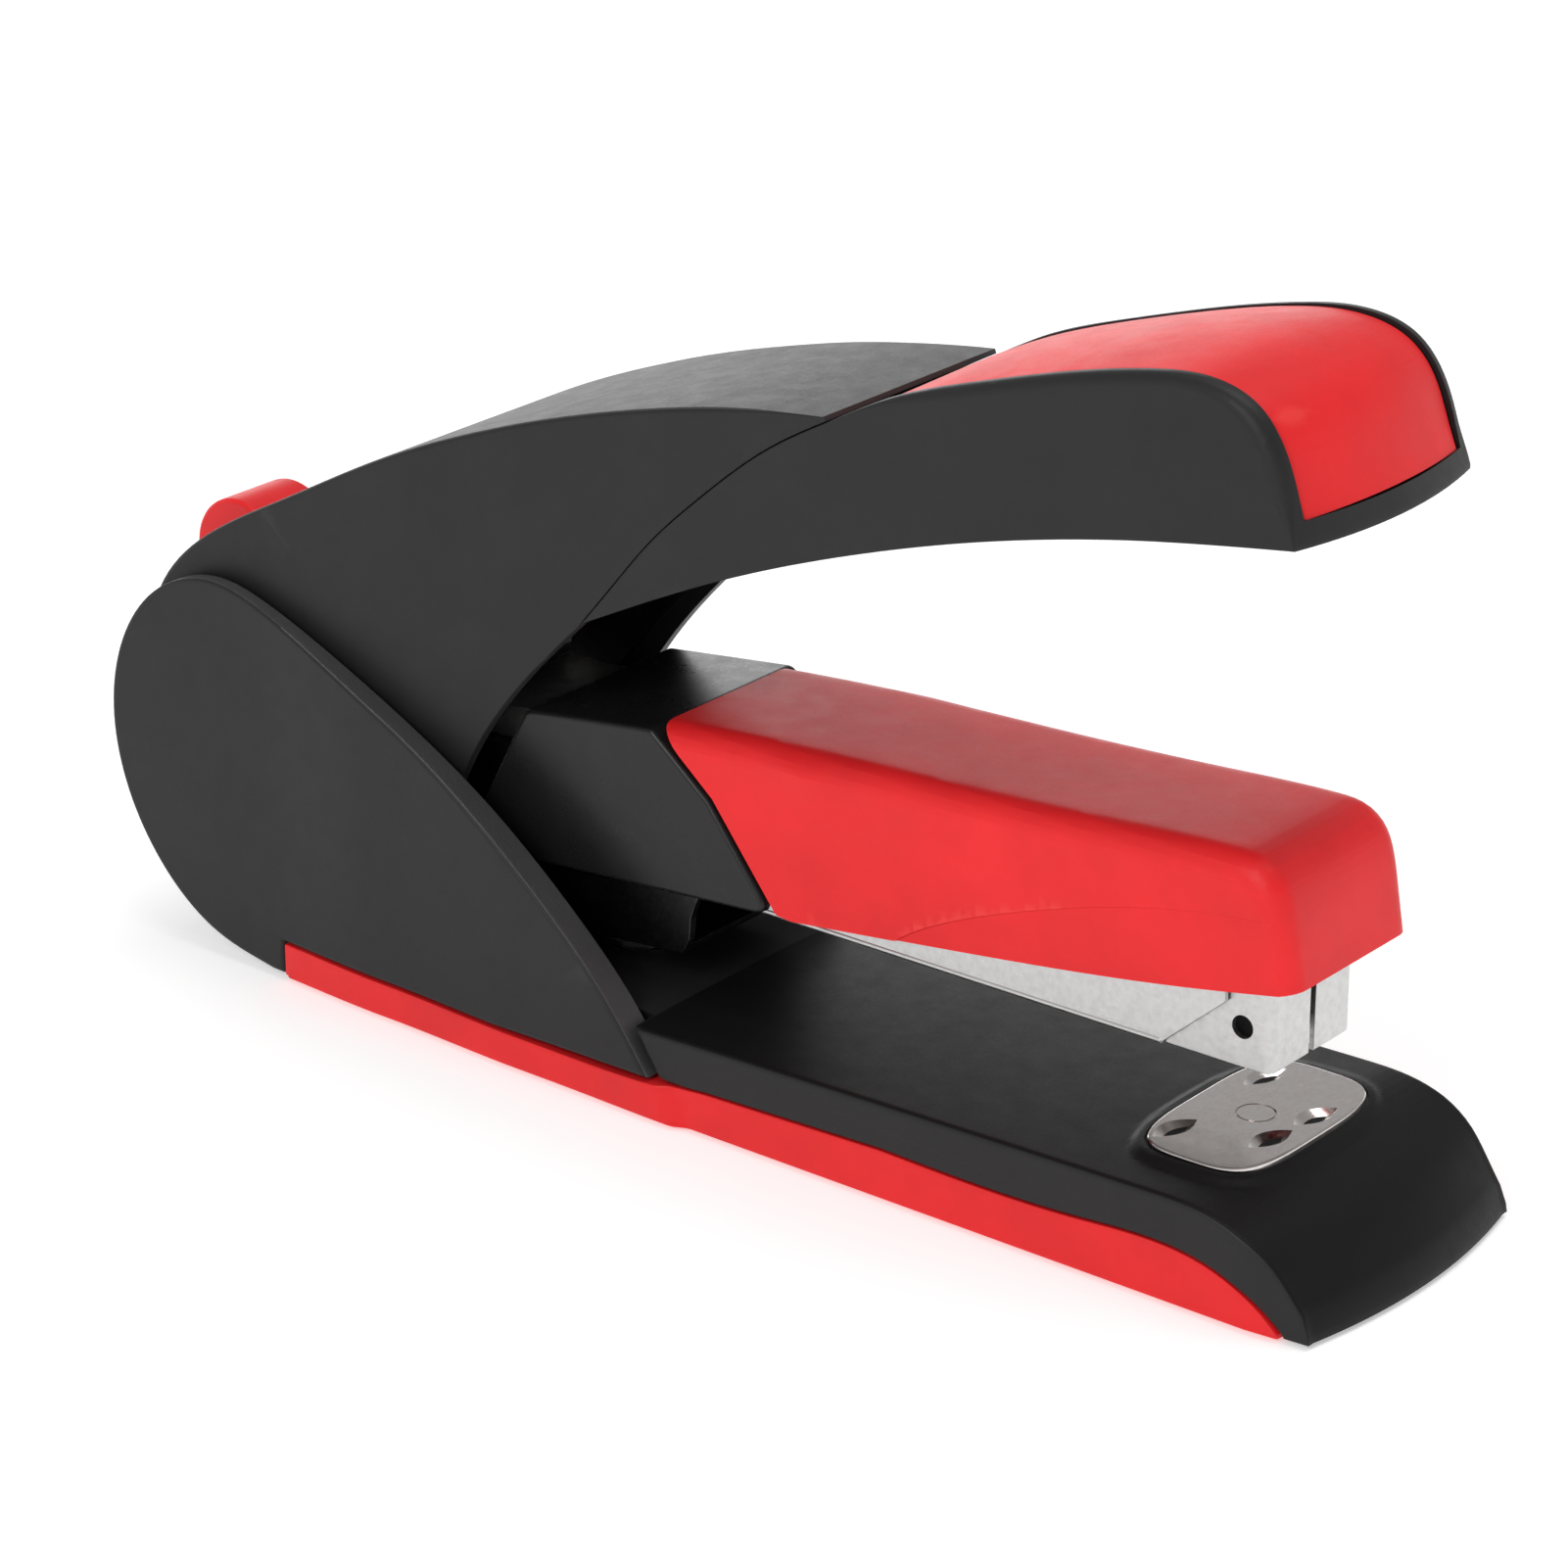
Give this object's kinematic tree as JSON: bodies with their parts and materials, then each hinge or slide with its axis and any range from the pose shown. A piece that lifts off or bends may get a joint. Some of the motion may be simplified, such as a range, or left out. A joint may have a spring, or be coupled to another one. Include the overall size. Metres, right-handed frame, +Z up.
{
  "type": "stapler",
  "caption": "Desk stapler with a raised lever handle, sprung arm, front-loading staple drawer, turning anvil and long flat base.",
  "frame": {"origin": "centre of the base's rubber mat, on the plane that the stapler stands on", "axes": "+X from the rear towards the nose, +Y to the stapler's left side, +Z up"},
  "size_m": [0.1706, 0.042, 0.0976],
  "materials": {
    "black_plastic": "satin, fine grain on the top faces",
    "red_plastic": "satin",
    "zinc_steel": "zinc plated",
    "dark_steel": "oiled",
    "nickel_steel": "polished nickel",
    "grey_plastic": "plain moulded",
    "mat_rubber": "matt"
  },
  "bodies": {
    "base": {"base_sole": "red_plastic", "base_mat": "mat_rubber", "base_deck": "black_plastic", "cheek_left": "black_plastic", "cheek_right": "black_plastic", "base_rear_cover": "black_plastic", "base_frame": "zinc_steel", "base_screw_1": "dark_steel", "base_screw_2": "dark_steel", "base_screw_3": "dark_steel", "base_screw_4": "dark_steel", "handle_pivot_pin": "zinc_steel", "arm_pivot_pin": "zinc_steel", "arm_lift_spring": "zinc_steel", "handle_return_spring": "zinc_steel", "anvil_spring": "zinc_steel"},
    "anvil_lifter": {"anvil_stem": "dark_steel"},
    "anvil": {"anvil_plate": "nickel_steel"},
    "handle": {"handle_rear_shell": "black_plastic", "handle_grip_shell": "black_plastic", "handle_insert": "red_plastic", "handle_frame": "zinc_steel", "roller_pin": "zinc_steel", "button_spring": "zinc_steel"},
    "roller": {"press_roller": "dark_steel"},
    "button": {"release_button": "red_plastic"},
    "arm": {"head_cover": "red_plastic", "arm_housing": "black_plastic", "arm_frame": "zinc_steel", "magazine_channel": "nickel_steel", "drawer_catch": "dark_steel"},
    "driver": {"driver_lever": "zinc_steel", "driver_blade": "zinc_steel"},
    "drawer": {"drawer_rail": "nickel_steel", "drawer_plug": "grey_plastic", "guide_rod": "zinc_steel", "staple_strip": "zinc_steel", "pusher_spring": "zinc_steel"},
    "pusher": {"staple_pusher": "grey_plastic"}
  },
  "joints": [
    {"name": "handle_press", "type": "hinge", "parent": "base", "child": "handle", "pos_m": [-0.052, 0, 0.024], "axis": [0, 1, 0], "range_deg": [0, 15], "stiffness_Nm_per_rad": 0.5, "springref_deg": -22.92, "deforming": ["handle_return_spring"]},
    {"name": "arm_swing", "type": "hinge", "parent": "base", "child": "arm", "pos_m": [-0.07, 0, 0.015], "axis": [0, 1, 0], "range_deg": [0, 3.3], "deforming": ["arm_lift_spring"]},
    {"name": "driver_swing", "type": "hinge", "parent": "arm", "child": "driver", "pos_m": [-0.07, 0, 0.015], "axis": [0, 1, 0], "range_deg": [0, 4.5]},
    {"name": "roller_spin", "type": "hinge", "parent": "handle", "child": "roller", "pos_m": [-0.038, 0, 0.042], "axis": [0, 1, 0], "continuous": true},
    {"name": "button_push", "type": "slide", "parent": "handle", "child": "button", "axis": [0.8211, 0, -0.5708], "range_m": [0, 0.003], "stiffness_N_per_m": 400, "springref_m": -0.002, "deforming": ["button_spring"]},
    {"name": "drawer_slide", "type": "slide", "parent": "arm", "child": "drawer", "axis": [-1, 0, 0], "range_m": [-0.09, 0]},
    {"name": "pusher_slide", "type": "slide", "parent": "drawer", "child": "pusher", "axis": [1, 0, 0], "range_m": [-0.03, 0], "stiffness_N_per_m": 20, "springref_m": 0.03, "deforming": ["pusher_spring"]},
    {"name": "anvil_lift", "type": "slide", "parent": "base", "child": "anvil_lifter", "axis": [0, 0, -1], "range_m": [-0.0025, 0], "stiffness_N_per_m": 200, "springref_m": 0.002, "deforming": ["anvil_spring"]},
    {"name": "anvil_turn", "type": "hinge", "parent": "anvil_lifter", "child": "anvil", "pos_m": [0.064, 0, 0.014], "axis": [0, 0, 1], "range_deg": [0, 180]}
  ],
  "couplings": [
    {"joint": "arm_swing", "follows": "handle_press", "ratio": 0.22},
    {"joint": "driver_swing", "follows": "handle_press", "ratio": 0.298}
  ]
}
